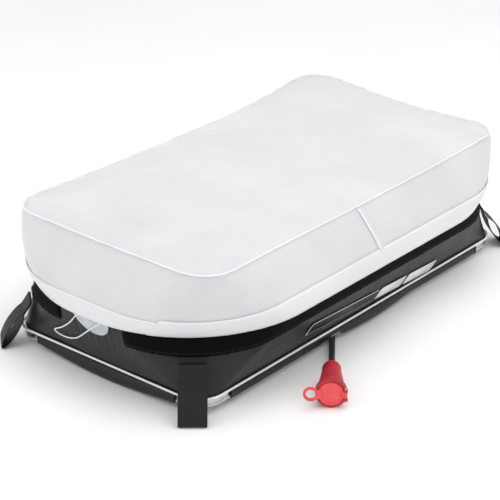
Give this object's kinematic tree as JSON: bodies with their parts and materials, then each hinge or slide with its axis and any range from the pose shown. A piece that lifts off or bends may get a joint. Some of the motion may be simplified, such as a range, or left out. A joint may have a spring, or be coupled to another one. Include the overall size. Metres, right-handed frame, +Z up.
{
  "type": "inflatable area light",
  "caption": "Low inflatable area light: white air-filled diffuser hood on a black fabric base with an LED tray, corner webbing loops and a mains coupling on a short lead.",
  "frame": {"origin": "centre of the base's footprint, on the ground under the rest pad", "axes": "+X along the length away from the valve end, +Y across, away from the side that the supply lead leaves, +Z up"},
  "size_m": [0.9726, 0.6541, 0.2717],
  "materials": {
    "aluminium": "satin",
    "piping": "satin",
    "coated_fabric": "satin",
    "hook": "matte",
    "pad": "matte",
    "rivet": "satin",
    "circuit_board": "matte",
    "emitter": "gloss",
    "screw": "satin",
    "driver_case": "satin",
    "box_plastic": "matte",
    "wire": "matte",
    "red_wire": "matte",
    "clear": "gloss",
    "film": "satin",
    "valve_film": "satin",
    "tether": "matte",
    "label_black": "satin",
    "label_white": "satin",
    "webbing": "matte",
    "red_rubber": "satin",
    "lid_red": "satin",
    "insert_red": "matte",
    "brass": "polished",
    "steel": "polished",
    "gasket": "matte",
    "diffuser": "satin",
    "hem": "satin",
    "loop_pile": "matte"
  },
  "bodies": {
    "root": {"heat_sink_tray": "aluminium", "edge_piping": "piping", "base_wall": "coated_fabric", "hook_tape": "hook", "under_flap_left": "coated_fabric", "under_flap_right": "coated_fabric", "under_flap_front": "coated_fabric", "under_flap_back": "coated_fabric", "belly_pad": "pad", "corner_rivets": "rivet", "led_board_1": "circuit_board", "led_board_2": "circuit_board", "led_board_3": "circuit_board", "led_board_4": "circuit_board", "led_board_5": "circuit_board", "led_board_6": "circuit_board", "led_emitters": "emitter", "board_screws": "screw", "driver_1": "driver_case", "driver_2": "driver_case", "terminal_box": "box_plastic", "terminal_lid": "box_plastic", "mains_tail": "wire", "output_wires": "red_wire", "cover_posts": "aluminium", "clear_cover": "clear", "cover_screws": "screw", "air_bladder": "film", "valve_tab": "valve_film", "valve_body": "valve_film", "valve_tether": "tether", "label_panel_1": "label_black", "label_panel_2": "label_white", "label_panel_3": "label_white", "loop_patches": "webbing", "inlet_box": "box_plastic", "lead_gland": "box_plastic", "power_lead": "wire", "coupling_body": "red_rubber", "coupling_nut": "red_rubber", "contact_insert": "insert_red", "contact_tubes": "brass", "earth_clips": "steel", "hinge_pin": "steel", "lid_spring": "steel"},
    "hood": {"hood_shell": "diffuser", "hem_band": "hem", "loop_tape": "loop_pile", "side_seam": "hem", "rim_seam": "hem"},
    "valve_cap": {"valve_cap": "valve_film"},
    "coupling_lid": {"coupling_lid": "lid_red", "lid_gasket": "gasket"},
    "webbing_loop_1": {"webbing_loop_1": "webbing"},
    "webbing_loop_2": {"webbing_loop_2": "webbing"},
    "webbing_loop_3": {"webbing_loop_3": "webbing"},
    "webbing_loop_4": {"webbing_loop_4": "webbing"}
  },
  "joints": [
    {"name": "hood_lift", "type": "slide", "parent": "root", "child": "hood", "axis": [0, 0, 1], "range_m": [0, 0.18]},
    {"name": "valve_cap_turn", "type": "hinge", "parent": "root", "child": "valve_cap", "pos_m": [-0.475, -0.007, 0.137], "axis": [-1, 0, 0], "range_deg": [0, 90]},
    {"name": "lid_hinge", "type": "hinge", "parent": "root", "child": "coupling_lid", "pos_m": [-0.26034, -0.38188, 0.0265], "axis": [0, 0, 1], "range_deg": [0, 140], "stiffness_Nm_per_rad": 0.02, "springref_deg": -17.19},
    {"name": "loop_1_swing", "type": "hinge", "parent": "root", "child": "webbing_loop_1", "pos_m": [0.42594, 0.19147, 0.088], "axis": [0.6428, -0.766, 0], "range_deg": [0, 100]},
    {"name": "loop_2_swing", "type": "hinge", "parent": "root", "child": "webbing_loop_2", "pos_m": [-0.42594, 0.19147, 0.088], "axis": [0.6428, 0.766, 0], "range_deg": [0, 100]},
    {"name": "loop_3_swing", "type": "hinge", "parent": "root", "child": "webbing_loop_3", "pos_m": [-0.42594, -0.19147, 0.088], "axis": [-0.6428, 0.766, 0], "range_deg": [0, 100]},
    {"name": "loop_4_swing", "type": "hinge", "parent": "root", "child": "webbing_loop_4", "pos_m": [0.42594, -0.19147, 0.088], "axis": [-0.6428, -0.766, 0], "range_deg": [0, 100]}
  ]
}
